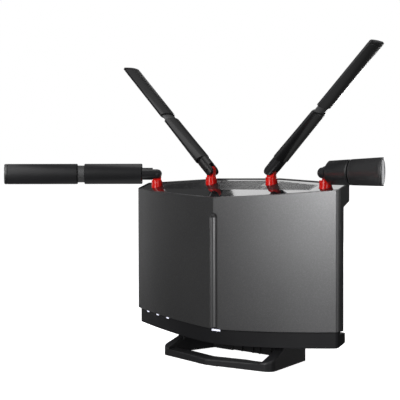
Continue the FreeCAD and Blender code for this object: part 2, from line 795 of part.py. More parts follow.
def build_heatsink():
    """A finned plate on the front of the board."""
    back = dim("board_back")
    half, low, high, sheet = 50, 84, 66, 3
    fin_count, fin_pitch, fin_sheet, fin_deep = 13, 8, 1.6, 9.5
    plate = box((-half, back - sheet, low), (2 * half, sheet, high))
    front = back - sheet - fin_deep + 0.5
    fins = [
        box((1 - half + index * fin_pitch, front, low), (fin_sheet, fin_deep, high))
        for index in range(fin_count)
    ]
    return fuse([plate, *fins], "heatsink")


def build_shield_cans():
    """Metal covers over the radio sections, on the rear of the board."""
    back = dim("board_back") + dim("board_sheet")
    long, deep, high, low = 34, 4, 38, 114
    cans = [box((x, back, low), (long, deep, high)) for x in (-78, -36, 2, 44)]
    return fuse(cans, "shield_cans")


def build_board_posts():
    """Bored posts that carry the board off the rear wall."""
    start = dim("board_back") + dim("board_sheet")
    length = dim("rear_back") - wall - start
    posts = []
    for x, z in POST_SPOTS:
        post = rod(HEAD_RADIUS, length, (x, start, z), ALONG_Y)
        bore_start = dim("rear_back") - wall - SHANK_LONG + 1
        bore = rod(dim("screw_radius"), SHANK_LONG, (x, bore_start, z), ALONG_Y)
        posts.append(cut(post, [bore], "post"))
    return fuse(posts, "board_posts")


def cross(x, y, z, radius, along):
    """The cut of a cross-head recess in a screw's head, square to Y."""
    return [
        centred_box((x, y, z), (2 * radius, along, 0.7)),
        centred_box((x, y, z), (0.7, along, 2 * radius)),
    ]


def build_cover_screws():
    """Four cross-head screws through the rear wall into the posts."""
    face = dim("rear_back")
    screws = []
    for x, z in POST_SPOTS:
        shank = rod(dim("screw_radius"), SHANK_LONG, (x, face - SHANK_LONG, z), ALONG_Y)
        head = rod(HEAD_RADIUS, HEAD_HIGH, (x, face, z), ALONG_Y)
        recess = cross(x, face + HEAD_HIGH, z, 1.7, 2)
        screws.append(cut(fuse([shank, head], "screw"), recess, "screw"))
    return fuse(screws, "cover_screws")


def network_spots():
    """Places across of the five network sockets: the outside line first, then the four others."""
    return [dim("port_pitch") * step for step in (-2, -1, 0, 1, 2)]


JACK_WIDE, JACK_HIGH = 15, 13
CONTROL_SPOTS = {"mode": -36, "usb": -22, "reset": -8, "pairing": 3, "power": 18, "inlet": 34}


def port_face():
    """Distance of the socket faces behind the crease."""
    return dim("rear_back") + 0.4


def build_jack(x):
    """One network socket with its latch notch."""
    rise, face = dim("port_rise"), port_face()
    start = dim("board_back") + dim("board_sheet")
    low = (x - JACK_WIDE / 2, start, rise - JACK_HIGH / 2)
    block = box(low, (JACK_WIDE, face - start, JACK_HIGH))
    room = box((x - 5.9, face - 14, rise - 4.4), (11.8, 20, 8))
    notch = box((x - 3.1, face - 12, rise + 3.5), (6.2, 20, 1.7))
    return cut(block, [room, notch], "jack")


def build_wan_port():
    """The outside line's socket."""
    jack = build_jack(network_spots()[0])
    jack.Label = "wan_port"
    return jack


def build_lan_ports():
    """The four network sockets."""
    return fuse([build_jack(x) for x in network_spots()[1:]], "lan_ports")


def build_usb_port():
    """A flat metal-shelled socket with its tongue."""
    x, z, face = CONTROL_SPOTS["usb"], dim("control_rise"), port_face()
    start = face - 17
    block = box((x - 6.9, start, z - 3.3), (13.8, 17, 6.6))
    room = box((x - 6.3, start + 5, z - 2.6), (12.6, 20, 5.2))
    tongue = box((x - 5.6, start + 4, z + 0.2), (11.2, 11, 1.8))
    return fuse([cut(block, [room], "usb shell"), tongue], "usb_port")


def build_power_jack():
    """The round power inlet: a bore for the plug, with a contact at its bottom."""
    x, z, face = CONTROL_SPOTS["inlet"], dim("control_rise"), port_face()
    start = face - 15
    block = box((x - 5.2, start, z - 5.2), (10.4, 15, 10.4))
    bore = rod(3.2, 20, (x, face - 8, z), ALONG_Y)
    narrow = rod(2.2, 20, (x, face - 11, z), ALONG_Y)
    contact = rod(0.9, 3, (x, face - 11.5, z), ALONG_Y)
    return fuse([cut(block, [bore, narrow], "inlet block"), contact], "power_jack")


def build_port_panel():
    """A flat plate in the rear wall with openings for the row of sockets and for each control."""
    face, rise = dim("rear_back"), dim("port_rise")
    control = dim("control_rise")
    thick = 2
    plate = box(
        (0.2 - PANEL_HALF, face - thick - 0.4, PANEL_LOW + 0.2),
        (2 * PANEL_HALF - 0.4, thick, PANEL_HIGH - PANEL_LOW - 0.4),
    )
    row = 4 * dim("port_pitch") + JACK_WIDE + 0.2
    tools = [centred_box((0, face, rise), (row, 10, JACK_HIGH + 0.2))]
    spots = CONTROL_SPOTS
    tools.append(centred_box((spots["usb"], face, control), (14, 10, 6.8)))
    tools.append(centred_box((spots["inlet"], face, control), (10.6, 10, 10.6)))
    tools.append(centred_box((spots["mode"], face, control), (9.4, 10, 3.2)))
    for name, radius in (("power", 4.3), ("pairing", 2.9), ("reset", 1.3)):
        tools.append(rod(radius, 10, (spots[name], face - 5, control), ALONG_Y))
    return cut(plate, tools, "port_panel")


def build_button(label, spot, radius, proud):
    """A round push button with a flange behind the port panel."""
    x, z, face = CONTROL_SPOTS[spot], dim("control_rise"), dim("rear_back") - 0.4
    cap = rod(radius, 4.6 + proud, (x, face - 4.6, z), ALONG_Y)
    flange = rod(radius + 0.9, 1.4, (x, face - 4.6, z), ALONG_Y)
    return fuse([cap, flange], label)


def build_mode_switch():
    """A three-place slide switch: its lever and the wider foot behind the panel."""
    x, z, face = CONTROL_SPOTS["mode"], dim("control_rise"), dim("rear_back") - 0.4
    lever = box((x - 1.6, face - 3.6, z - 1.2), (3.2, 5, 2.4))
    foot = box((x - 3, face - 4.4, z - 2.4), (6, 1.6, 4.8))
    return fuse([lever, foot], "mode_switch")


def build_rating_plate():
    """A thin blank plate on the rear wall."""
    return box((-24, dim("rear_back"), 171), (48, 0.4, 11), "rating_plate")


def build_light_board():
    """A narrow board behind the status lights."""
    lean = math.degrees(math.atan2(-11.6, 57))
    turn = Rotation(Vector(0, 0, 1), lean)
    strip = box((0, 0, 0), (56, 1.2, 8))
    strip.Placement = Placement(Vector(-135, 30.4, 40), turn)
    connector = box((0, 0, 0), (7, 3, 4))
    connector.Placement = Placement(turn.multVec(Vector(24, 1.2, 2)) + strip.Placement.Base, turn)
    return fuse([strip, connector], "light_board")


def tube(points, radius, bend):
    """A round lead along straight runs joined by tangent arcs."""
    edges = []
    start = points[0]
    for index in range(1, len(points) - 1):
        corner = points[index]
        into = (points[index - 1] - corner).normalize()
        out = (points[index + 1] - corner).normalize()
        half = into.getAngle(out) / 2
        back = bend / math.tan(half)
        first, last = corner + into * back, corner + out * back
        centre_line = (into + out).normalize()
        middle = corner + centre_line * (bend / math.sin(half) - bend)
        edges.append(Part.LineSegment(start, first).toShape())
        edges.append(Part.Arc(first, middle, last).toShape())
        start = last
    edges.append(Part.LineSegment(start, points[-1]).toShape())
    path = Part.Wire(edges)
    circle = Part.Circle(points[0], points[1] - points[0], radius).toShape()
    return path.makePipeShell([Part.Wire([circle])], True, False)


def build_antenna_leads():
    """A thin lead from below each antenna's spindle to a connector on the board."""
    connector_y = (dim("board_back") + dim("board_sheet")).value + 1
    leads = []
    for x, y in antenna_spots():
        side = math.copysign(1, x.value)
        top = (roof_at(y) - 12.2).value
        out = abs(x.value)
        board_x = side * min(out, 76)
        waypoints = [
            Vector(x.value, y.value, top),
            Vector(x.value - side * 1, y.value - 1.5, top - 8),
            Vector(board_x + side * 4, connector_y + 3.4, 164),
            Vector(board_x, connector_y + 0.2, 156),
        ]
        leads.append(tube(waypoints, 0.9, 4))
        leads.append(Part.makeCylinder(1.6, 1.6, waypoints[-1] + Vector(0, -1.2, -1), Vector(0, 1, 0)))
    item = doc.addObject("Part::Feature", "Leads")
    item.Label = "antenna_leads"
    joined = [leads[index].fuse(leads[index + 1]) for index in range(0, len(leads), 2)]
    item.Shape = Part.makeCompound(joined)
    item.Placement = Placement()
    return item


def stand_plan(inset, front, rear):
    """The stand's ring in plan; both its fronts follow the housing's V."""
    side, rear_side = dim("stand_half") - inset, dim("stand_rear_half") - inset
    half = [(0, front), (side - 8, front + 13), (side, front + 17.5)]
    return mirrored([*half, (rear_side, rear - 4), (rear_side - 4, rear)])


def stand_profile(drop=0):
    """The stand's top line from the side, from the front bar up to the housing and down again."""
    back, bar = dim("stand_back"), dim("stand_bar")
    touch = [(y, band_low + slope * y - drop) for y in (38, 56)]
    rise = [(-3, bar + 0.8 - drop), (24, 20.5 - drop)]
    fall = [(back - 6, 21 - drop), (back, 14 - drop)]
    return rise + touch + fall


def round_rim(owner, radius):
    """Fillet the edges between a body's upright sides and its top."""
    doc.recompute()
    sharp = owner.Tip
    names = []
    for index, edge in enumerate(sharp.Shape.Edges, 1):
        middle = edge.valueAt((edge.FirstParameter + edge.LastParameter) / 2)
        faces = sharp.Shape.ancestorsOfType(edge, Part.Face)
        rises = [face.normalAt(*face.Surface.parameter(middle)).z for face in faces]
        if max(rises) > 0.3 and min(abs(rise) for rise in rises) < 0.01:
            names.append(f"Edge{index}")
    fillet = owner.newObject("PartDesign::Fillet", "RimRound")
    fillet.Base = (sharp, names)
    bind(fillet, "Radius", radius)


def build_ring():
    """The stand's ring: an outer skirt and a top, open underneath along the arms and the back."""
    reach, back, bar = dim("stand_front"), dim("stand_back"), dim("stand_bar")
    lift, arm = dim("pad_lift"), dim("stand_arm")
    skirt, web = dim("stand_skirt"), dim("stand_web")
    ring = body("stand ring")
    pad(ring, sketch(ring, stand_plan(0, -reach, back), lift=lift), 90)
    side = dim("stand_half")
    round_corners(ring, [stand_corner[:2] for stand_corner in stand_plan(0, -reach, back)[1:3]], 9)
    above = [(-2 * reach, bar - 1), (-reach, bar - 1), *stand_profile()]
    above += [(2 * back, 14), (2 * back, REACH), (-2 * reach, REACH)]
    pocket(ring, sketch(ring, above, "YZ_Plane"), REACH)
    round_rim(ring, dim("stand_round"))
    pocket(ring, sketch(ring, stand_plan(arm, 1.5, back - 7)), REACH)
    front_top = [(-2 * reach, bar), (24, bar), (24, REACH), (-2 * reach, REACH)]
    pocket(ring, sketch(ring, front_top, "YZ_Plane"), 2 * (side - arm))
    hollow_plan = body("stand hollow plan")
    pad(hollow_plan, sketch(hollow_plan, stand_plan(skirt, 0, back - skirt)), 90)
    hollow_side = body("stand hollow side")
    under = [(10, 0), (10, 11)] + stand_profile(web)[1:] + [(2 * back, 14 - web), (2 * back, 0)]
    pad(hollow_side, sketch(hollow_side, under, "YZ_Plane"), 200, symmetric=True)
    hollow = common(hollow_plan, hollow_side, "stand hollow")
    return cut(ring, [hollow], "stand shell")


def build_stand():
    """The ring on the desk, ribs inside its back, and a saddle plate that carries the housing."""
    back, lift = dim("stand_back"), dim("pad_lift")
    saddle_plan = [(-67, 31), (67, 31), (67, 54), (-67, 54)]
    saddle = slanted_body("saddle", saddle_plan, band_low - 3, band_low)
    ribs = [box((x - 0.7, back - 6.8, lift), (1.4, 4, 13)) for x in (-44, -22, -5, 5, 22, 44)]
    feet = [box((x - 1.5, y - 1.5, lift), (long + 3, wide + 3, 4)) for x, y, long, wide in pad_spots()]
    outline = body("stand outline")
    pad(outline, sketch(outline, stand_plan(0.5, 0.5 - dim("stand_front"), back - 0.5)), 90)
    feet = common(fuse(feet, "feet blanks"), outline, "feet")
    tools = [slanted_rod(1.6, -6, 12, spot) for spot in stand_screw_spots()]
    tools += [box((x, y, 0), (long, wide, 1.8)) for x, y, long, wide in pad_spots(0.1)]
    return cut(fuse([build_ring(), saddle, feet, *ribs], "stand blank"), tools, "stand")


def pad_spots(room=0):
    """Low corner and lengths of each foot pad in plan: two at the front corners, one at the
    front centre, two at the back."""
    centre = [(-14, -10, 28, 10.8)]
    front = [(-71, 3.5, 9, 9), (62, 3.5, 9, 9)]
    rear = [(-64, 79, 26, 3.8), (38, 79, 26, 3.8)]
    spots = centre + front + rear
    return [(x - room, y - room, a + 2 * room, b + 2 * room) for x, y, a, b in spots]


def build_stand_pads():
    """Rubber pads under the stand."""
    pads = [box((x, y, 0), (long, wide, 1.8)) for x, y, long, wide in pad_spots()]
    return fuse(pads, "stand_pads")


def build_stand_screws():
    """Four screws up through the saddle into the base band's floor."""
    screws = []
    for spot in stand_screw_spots():
        head_low = -3 - HEAD_HIGH
        shank = slanted_rod(dim("screw_radius"), -3, 8, spot)
        head = slanted_rod(HEAD_RADIUS, head_low, HEAD_HIGH, spot)
        recess = slanted_rod(1, head_low, 1, spot)
        screws.append(cut(fuse([shank, head], "screw"), [recess], "screw"))
    return fuse(screws, "stand_screws")


nodes = [
    build_front_shell(),
    build_base_band(),
    build_rear_cover(),
    build_roof_panel(),
    build_roof_vent(),
    build_antenna_sockets(),
    build_status_lights(),
    build_centre_light(),
    build_main_board(),
    build_heatsink(),
    build_shield_cans(),
    build_board_posts(),
    build_cover_screws(),
    build_wan_port(),
    build_lan_ports(),
    build_usb_port(),
    build_power_jack(),
    build_port_panel(),
    build_button("power_button", "power", 4, 1.6),
    build_button("pairing_button", "pairing", 2.6, 0.8),
    build_button("reset_button", "reset", 1, -0.6),
    build_mode_switch(),
    build_rating_plate(),
    build_light_board(),
    build_antenna_leads(),
    build_stand(),
    build_stand_pads(),
    build_stand_screws(),
]
nodes += build_antennas()
doc.recompute()

failed = [o.Label for o in doc.Objects if "Invalid" in o.State or "Error" in o.State]
if failed:
    raise RuntimeError(f"failed objects: {failed}")
for node in nodes:
    if node.Shape.isNull() or not node.Shape.isValid() or node.Shape.Volume <= 0:
        raise RuntimeError(f"bad shape: {node.Label}")

os.makedirs("parts", exist_ok=True)
for node in nodes:
    node.Shape.exportStep(os.path.join("parts", f"{node.Label}.step"))
print(f"{len(nodes)} nodes written")
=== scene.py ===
import json
import math

import bmesh
import bpy
from mathutils import Matrix, Vector


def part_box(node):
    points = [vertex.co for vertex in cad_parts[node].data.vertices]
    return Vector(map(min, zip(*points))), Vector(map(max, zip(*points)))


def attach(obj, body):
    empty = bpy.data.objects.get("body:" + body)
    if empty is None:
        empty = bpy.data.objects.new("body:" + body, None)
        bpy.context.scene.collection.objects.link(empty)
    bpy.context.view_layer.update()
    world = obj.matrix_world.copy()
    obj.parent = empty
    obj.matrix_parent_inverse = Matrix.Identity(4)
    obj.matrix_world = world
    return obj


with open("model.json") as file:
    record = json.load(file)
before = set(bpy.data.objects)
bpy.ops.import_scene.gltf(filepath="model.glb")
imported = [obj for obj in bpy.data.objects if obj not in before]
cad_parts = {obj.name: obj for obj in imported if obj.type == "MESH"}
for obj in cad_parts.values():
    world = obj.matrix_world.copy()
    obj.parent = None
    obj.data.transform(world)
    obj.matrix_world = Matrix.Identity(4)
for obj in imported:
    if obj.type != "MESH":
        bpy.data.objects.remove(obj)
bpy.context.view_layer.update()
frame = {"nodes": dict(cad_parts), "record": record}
nodes = frame["nodes"]
slot_of = {row["node"]: row["material_slot"] for row in frame["record"]["subparts"]}
MM = 0.001

# ---------------------------------------------------------------------------------------------
# Camera

CAMERA_PLACE = (0.70644, -0.80671, 0.2105)
CAMERA_AZIMUTH, CAMERA_PITCH, CAMERA_ROLL = 42, 1.348, -0.104
CAMERA_LENS, CAMERA_SENSOR = 85.67, 36
NEAR, FAR = 0.01, 50


def aim(azimuth, pitch, roll):
    """Rotation of a camera whose view is turned to the left of +Y, tipped down, and rolled."""
    turn = Matrix.Rotation(math.radians(azimuth), 4, "Z")
    tip = Matrix.Rotation(math.radians(90 - pitch), 4, "X")
    spin = Matrix.Rotation(math.radians(roll), 4, "Z")
    return turn @ tip @ spin


camera = bpy.data.objects.new("Camera", bpy.data.cameras.new("Camera"))
camera.data.sensor_width = CAMERA_SENSOR
camera.data.lens = CAMERA_LENS
camera.data.clip_start = NEAR
camera.data.clip_end = FAR
facing = aim(CAMERA_AZIMUTH, CAMERA_PITCH, CAMERA_ROLL)
camera.matrix_world = Matrix.Translation(CAMERA_PLACE) @ facing
bpy.context.scene.collection.objects.link(camera)
bpy.context.scene.camera = camera

# ---------------------------------------------------------------------------------------------
# Materials

STRETCH_X, STRETCH_Z = (0.02, 1, 1), (1, 1, 0.02)


class Shading:
    """A material's node tree, built up node by node."""

    def __init__(self, name):
        self.material = bpy.data.materials.new(name)
        self.material.use_nodes = True
        self.tree = self.material.node_tree
        self.shader = self.tree.nodes["Principled BSDF"]
        self.place = self.add("ShaderNodeTexCoord").outputs["Object"]

    def add(self, kind, **settings):
        """A node with its properties set."""
        node = self.tree.nodes.new(kind)
        for name, value in settings.items():
            setattr(node, name, value)
        return node

    def feed(self, target, value):
        """Link a socket's output to a target, or set the target to a constant."""
        if isinstance(value, bpy.types.NodeSocket):
            self.tree.links.new(value, target)
        else:
            target.default_value = value

    def noise(self, scale, detail=2.0, stretch=(1, 1, 1), roughness=0.5):
        """Noise of a given number of features for each metre."""
        mapping = self.add("ShaderNodeMapping")
        mapping.inputs["Scale"].default_value = stretch
        self.feed(mapping.inputs["Vector"], self.place)
        node = self.add("ShaderNodeTexNoise")
        self.feed(node.inputs["Vector"], mapping.outputs[0])
        self.feed(node.inputs["Scale"], scale)
        self.feed(node.inputs["Detail"], detail)
        self.feed(node.inputs["Roughness"], roughness)
        return node.outputs["Fac"]

    def cells(self, scale):
        """A random grey for each small cell."""
        node = self.add("ShaderNodeTexVoronoi")
        self.feed(node.inputs["Vector"], self.place)
        self.feed(node.inputs["Scale"], scale)
        split = self.add("ShaderNodeSeparateColor")
        self.feed(split.inputs[0], node.outputs["Color"])
        return split.outputs[0]

    def spread(self, value, low, high, start=0.3, end=0.7):
        """A value mapped from one range to another."""
        node = self.add("ShaderNodeMapRange")
        numbers = (value, start, end, low, high)
        for name, number in zip(("Value", "From Min", "From Max", "To Min", "To Max"), numbers):
            self.feed(node.inputs[name], number)
        return node.outputs[0]

    def math(self, operation, first, second=0.0):
        """One step of arithmetic."""
        node = self.add("ShaderNodeMath", operation=operation)
        self.feed(node.inputs[0], first)
        self.feed(node.inputs[1], second)
        return node.outputs[0]

    def mix(self, share, first, second):
        """A colour between two."""
        node = self.add("ShaderNodeMix", data_type="RGBA")
        self.feed(node.inputs["Factor"], share)
        for socket, value in zip((6, 7), (first, second)):
            value = (*value, 1) if isinstance(value, tuple) else value
            self.feed(node.inputs[socket], value)
        return node.outputs[2]

    def edges(self, radius):
        """How far a point lies on a sharp edge, and the normal with that edge rounded."""
        bevel = self.add("ShaderNodeBevel", samples=6)
        bevel.inputs["Radius"].default_value = radius
        plain = self.add("ShaderNodeNewGeometry").outputs["Normal"]
        dot = self.add("ShaderNodeVectorMath", operation="DOT_PRODUCT")
        self.feed(dot.inputs[0], bevel.outputs[0])
        self.feed(dot.inputs[1], plain)
        return self.spread(dot.outputs["Value"], 1.0, 0.0, 0.75, 0.98), bevel.outputs[0]

    def bump(self, height, distance, normal, strength=1.0):
        """A normal roughened by a height in metres."""
        node = self.add("ShaderNodeBump")
        self.feed(node.inputs["Height"], height)
        self.feed(node.inputs["Distance"], distance)
        self.feed(node.inputs["Strength"], strength)
        if normal:
            self.feed(node.inputs["Normal"], normal)
        return node.outputs[0]

    def put(self, **inputs):
        """Set the shader's own sockets."""
        for name, value in inputs.items():
            target = self.shader.inputs[name.replace("_", " ")]
            value = (*value, 1) if isinstance(value, tuple) else value
            self.feed(target, value)


def moulded(name, base, shift=0.15, rough=(0.4, 0.5), grain=2600, depth=0.02, edge=0.35,
            edge_radius=0.35, edge_gain=1.7, round_edges=True, **constants):
    """A moulded or painted finish: cloudy tint, fine grain, and edges lightened, partly as wear
    from handling and partly as a painted highlight.

    base is the middle colour, shift its variation, grain the features for each metre, depth the
    grain's height and edge_radius the rounding, both in millimetres. With round_edges off, the
    edges are only tinted.
    """
    look = Shading(name)
    on_edge, rounded = look.edges(edge_radius * MM)
    dark = tuple(c * (1 - shift) for c in base)
    light = tuple(c * (1 + shift) for c in base)
    cloud = look.spread(look.noise(22, 3), 0.0, 1.0)
    tint = look.mix(cloud, dark, light)
    speck = look.noise(grain, 1.5)
    tint = look.mix(look.spread(speck, 0.0, 0.35), tint, light)
    # Painted highlight: sharp edges are lightened towards base times edge_gain, partly as handling
    # wear and partly as a painted highlight along the edges.
    wear_and_highlight = look.math("MULTIPLY", on_edge, look.spread(look.noise(180, 3), 0.0, edge))
    tint = look.mix(wear_and_highlight, tint, tuple(min(1.0, c * edge_gain + 0.012) for c in base))
    patch = look.spread(look.noise(60, 4), rough[0], rough[1])
    look.put(Base_Color=tint, Roughness=patch)
    look.put(Normal=look.bump(speck, depth * MM, rounded if round_edges else None))
    look.put(**constants)
    return look.material


def metallic_paint(name, base):
    """Satin metallic paint: small flakes of varied brightness under a soft clear finish."""
    look = Shading(name)
    on_edge, rounded = look.edges(0.5 * MM)
    flakes = look.cells(1500)
    cloud = look.spread(look.noise(9, 2), 0.0, 1.0)
    tint = look.mix(cloud, tuple(c * 0.93 for c in base), tuple(c * 1.07 for c in base))
    tint = look.mix(look.spread(flakes, 0.0, 0.3, 0.45, 1.0), tint, tuple(c * 1.6 for c in base))
    # Edges are lightened towards 1.9 times the base: partly wear, partly a painted highlight on
    # the rounded edges.
    wear_and_highlight = look.math("MULTIPLY", on_edge, look.spread(look.noise(140, 3), 0.1, 0.6))
    tint = look.mix(wear_and_highlight, tint, tuple(c * 1.9 for c in base))
    rough = look.spread(look.noise(2200, 2), 0.33, 0.37)
    look.put(Base_Color=tint, Roughness=rough, Metallic=0.9)
    look.put(Normal=look.bump(flakes, 0.0015 * MM, rounded))
    return look.material


def board_green(name):
    """Solder mask over copper: lighter tracks in two directions, with round lands."""
    look = Shading(name)
    tracks = []
    for stretch in (STRETCH_Z, STRETCH_X):
        lines = look.noise(900, 0, stretch)
        tracks.append(look.spread(lines, 0.0, 1.0, 0.52, 0.56))
    copper = look.math("MAXIMUM", *tracks)
    cover = look.spread(look.noise(60, 1), 0.0, 1.0, 0.45, 0.55)
    copper = look.math("MULTIPLY", copper, cover)
    tint = look.mix(copper, (0.004, 0.045, 0.02), (0.012, 0.12, 0.05))
    look.put(Base_Color=tint, Roughness=look.spread(look.noise(300, 2), 0.3, 0.45))
    look.put(Normal=look.bump(copper, 0.03 * MM, look.edges(0.2 * MM)[1]))
    return look.material


def brushed(name, base, rough, scale=2500):
    """Bare metal drawn or brushed along Z."""
    look = Shading(name)
    on_edge, rounded = look.edges(0.25 * MM)
    strokes = look.noise(scale, 3, STRETCH_Z)
    tint = look.mix(look.spread(strokes, 0.0, 1.0), tuple(c * 0.88 for c in base), base)
    tint = look.mix(look.math("MULTIPLY", on_edge, 0.5), tint, tuple(min(1, c * 1.3) for c in base))
    look.put(Base_Color=tint, Roughness=look.spread(strokes, *rough), Metallic=1.0)
    look.put(Normal=look.bump(strokes, 0.003 * MM, rounded))
    return look.material


def lens(name, base, glow):
    """A milky lens lit from behind, its glow as cloudy as its tint."""
    look = Shading(name)
    milk = look.spread(look.noise(700, 2), 0.0, 1.0)
    tint = look.mix(milk, tuple(c * 0.9 for c in base), base)
    look.put(Base_Color=tint, Roughness=look.spread(look.noise(1500, 1), 0.18, 0.3))
    look.put(Emission_Color=tint, Emission_Strength=glow)
    look.put(Normal=look.bump(milk, 0.01 * MM, look.edges(0.3 * MM)[1]))
    return look.material


finish = {
    "gunmetal_shell": metallic_paint("gunmetal_shell", (0.122, 0.122, 0.124)),
    "black_plastic": moulded("black_plastic", (0.027, 0.027, 0.028), rough=(0.42, 0.5),
                              Specular_IOR_Level=0.28),
    "band_black": moulded("band_black", (0.008, 0.008, 0.009), rough=(0.42, 0.5),
                          Specular_IOR_Level=0.2),
    "gloss_black": moulded("gloss_black", (0.011, 0.011, 0.012), rough=(0.035, 0.07), grain=900,
                           depth=0.0015, edge=0.2, Coat_Weight=0.4, Coat_Roughness=0.03),
    "grille_satin": moulded("grille_satin", (0.011, 0.011, 0.012), rough=(0.17, 0.21),
                            depth=0.002, edge=0.1),
    "red_gloss": moulded("red_gloss", (0.58, 0.006, 0.003), shift=0.1, rough=(0.16, 0.24),
                         grain=900, depth=0.002, edge_gain=1.25, Specular_IOR_Level=0.4),
    # The antennas' edges get a strong painted highlight: edge and edge_gain draw thin light lines
    # along the blades' edges.
    "antenna_black": moulded("antenna_black", (0.013, 0.013, 0.014), rough=(0.245, 0.26),
                             depth=0.002, edge=0.8, edge_gain=2.4, round_edges=False,
                             Specular_IOR_Level=0.4),
    "antenna_waist": moulded("antenna_waist", (0.1, 0.1, 0.102), rough=(0.26, 0.3), depth=0.001,
                             round_edges=False, Metallic=0.6),
    # The end plates' rims are lightened as a painted highlight.
    "antenna_cap": moulded("antenna_cap", (0.2, 0.2, 0.205), rough=(0.14, 0.2), depth=0.001,
                           edge=0.6, Metallic=0.7),
    "stand_black": moulded("stand_black", (0.012, 0.012, 0.013), rough=(0.36, 0.4),
                           edge_radius=0.5, Specular_IOR_Level=0.36),
    "pad_rubber": moulded("pad_rubber", (0.016, 0.016, 0.016), rough=(0.75, 0.9), depth=0.06),
    "light_lens": lens("light_lens", (0.78, 0.79, 0.93), 0.6),
    "circuit_board": board_green("circuit_board"),
    "bare_aluminium": brushed("bare_aluminium", (0.6, 0.61, 0.62), rough=(0.32, 0.38)),
    "tinned_steel": brushed("tinned_steel", (0.62, 0.61, 0.59), rough=(0.36, 0.4), scale=1200),
    "black_steel": brushed("black_steel", (0.06, 0.06, 0.062), rough=(0.3, 0.45)),
    "lead_jacket": moulded("lead_jacket", (0.025, 0.025, 0.025), rough=(0.4, 0.55), grain=1500),
    "blank_label": moulded("blank_label", (0.42, 0.42, 0.43), shift=0.05, rough=(0.45, 0.6),
                           edge_gain=1.1),
    "button_black": moulded("button_black", (0.028, 0.028, 0.029), rough=(0.3, 0.42)),
}

# The tip caps are as black as the sleeves; only the plates on their ends are bright. The base
# band is a deeper black than the rear cover.
for number in range(1, 5):
    slot_of[f"antenna_{number}_tip_cap"] = "antenna_black"
slot_of["base_band"] = "band_black"
for name, node in nodes.items():
    node.data.materials.clear()
    node.data.materials.append(finish[slot_of[name]])
    for face in node.data.polygons:
        face.material_index = 0

# ---------------------------------------------------------------------------------------------
# Detail pieces

Y_AXIS = Vector((0, 1, 0))


def show(name, mesh, material):
    """An object of the scene from a mesh."""
    item = bpy.data.objects.new(name, mesh)
    mesh.materials.append(material)
    bpy.context.scene.collection.objects.link(item)
    return item


def build_piece(name, parts, slot, body):
    """One piece from closed parts, each given as its vertices and faces; it rides on a body."""
    mesh = bpy.data.meshes.new(name)
    points, faces = [], []
    for part_points, part_faces in parts:
        faces += [[index + len(points) for index in face] for face in part_faces]
        points += part_points
    mesh.from_pydata(points, [], faces)
    shape = bmesh.new()
    shape.from_mesh(mesh)
    bmesh.ops.recalc_face_normals(shape, faces=shape.faces)
    shape.to_mesh(mesh)
    shape.free()
    piece = show(name, mesh, finish[slot])
    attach(piece, body)
    return piece


def stack(outline, centre, axis, levels):
    """A closed part: an outline repeated at levels of (scale, height in mm) along an axis."""
    count = len(outline)
    points, faces = [], []
    for scale, height in levels:
        points += [centre + (point - centre) * scale + axis * height * MM for point in outline]
    for level in range(len(levels) - 1):
        for index in range(count):
            here, there = level * count + index, level * count + (index + 1) % count
            faces.append([here, there, there + count, here + count])
    last = (len(levels) - 1) * count
    faces.append(list(range(count)))
    faces.append([last + index for index in range(count)])
    return points, faces


def wire(path, radius, sides=8):
    """A closed round wire along a path in a plane of constant X; radius in mm."""
    points, faces = [], []
    for index, place in enumerate(path):
        ahead = path[min(index + 1, len(path) - 1)] - path[max(index - 1, 0)]
        across = Vector((1, 0, 0))
        up = ahead.normalized().cross(across)
        for side in range(sides):
            turn = math.tau * side / sides
            points.append(place + (across * math.cos(turn) + up * math.sin(turn)) * radius * MM)
    for index in range(len(path) - 1):
        for side in range(sides):
            here, there = index * sides + side, index * sides + (side + 1) % sides
            faces.append([here, there, there + sides, here + sides])
    last = (len(path) - 1) * sides
    faces.append(list(range(sides)))
    faces.append([last + side for side in range(sides)])
    return points, faces


def middle(node):
    """The middle of a CAD node's box."""
    low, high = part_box(node)
    return (Vector(low) + Vector(high)) / 2


# A plate's sections from its hidden back, over its rim, to its dished middle: the share of the
# cap's outline, and the height over the cap's end in mm.
PLATE_LEVELS = [(0.9, -0.4), (0.97, -0.2), (0.98, 0.12), (0.965, 0.28), (0.93, 0.28), (0.88, 0.14),
                (0.7, 0.09), (0.4, 0.05), (0.1, 0.04)]
END_DEPTH = 0.05


def build_end_plates():
    """A dished bright plate with a raised rim on the end of each antenna."""
    for number in range(1, 5):
        tip = nodes[f"antenna_{number}_tip_cap"]
        axis = (middle(tip.name) - middle(f"antenna_{number}_waist")).normalized()
        reach = max(vertex.co.dot(axis) for vertex in tip.data.vertices)
        rim = {tuple(round(n, 6) for n in v.co) for v in tip.data.vertices
               if v.co.dot(axis) > reach - END_DEPTH * MM}
        rim = [Vector(point) for point in sorted(rim)]
        centre = sum(rim, Vector()) / len(rim)
        across = (rim[0] - centre).normalized()
        up = axis.cross(across)
        rim.sort(key=lambda p: math.atan2((p - centre).dot(up), (p - centre).dot(across)))
        part = stack(rim, centre, axis, PLATE_LEVELS)
        blade = f"antenna_{number}_blade"
        build_piece(f"antenna_{number}_end_plate", [part], "antenna_cap", blade)


def jack_places():
    """The front face's centre of each network socket: the outside line's, then the others'."""
    low, high = (Vector(corner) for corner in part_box("wan_port"))
    width = high.x - low.x
    places = [Vector(((low.x + high.x) / 2, high.y, (low.z + high.z) / 2))]
    row_low, row_high = (Vector(corner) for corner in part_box("lan_ports"))
    pitch = (row_high.x - row_low.x - width) / 3
    places += [Vector((row_low.x + width / 2 + pitch * step, high.y, places[0].z))
               for step in range(4)]
    return places


# A sprung wire's bends from the socket's face inwards, as places along Y and Z in mm.
WIRE_BENDS = [(-2.2, -3.9), (-3.4, -3.8), (-8.5, -1.9), (-9.6, -1.6), (-10.6, -1.9), (-11.6, -2.6)]
WIRES, WIRE_PITCH, WIRE_RADIUS = 8, 1.02, 0.18
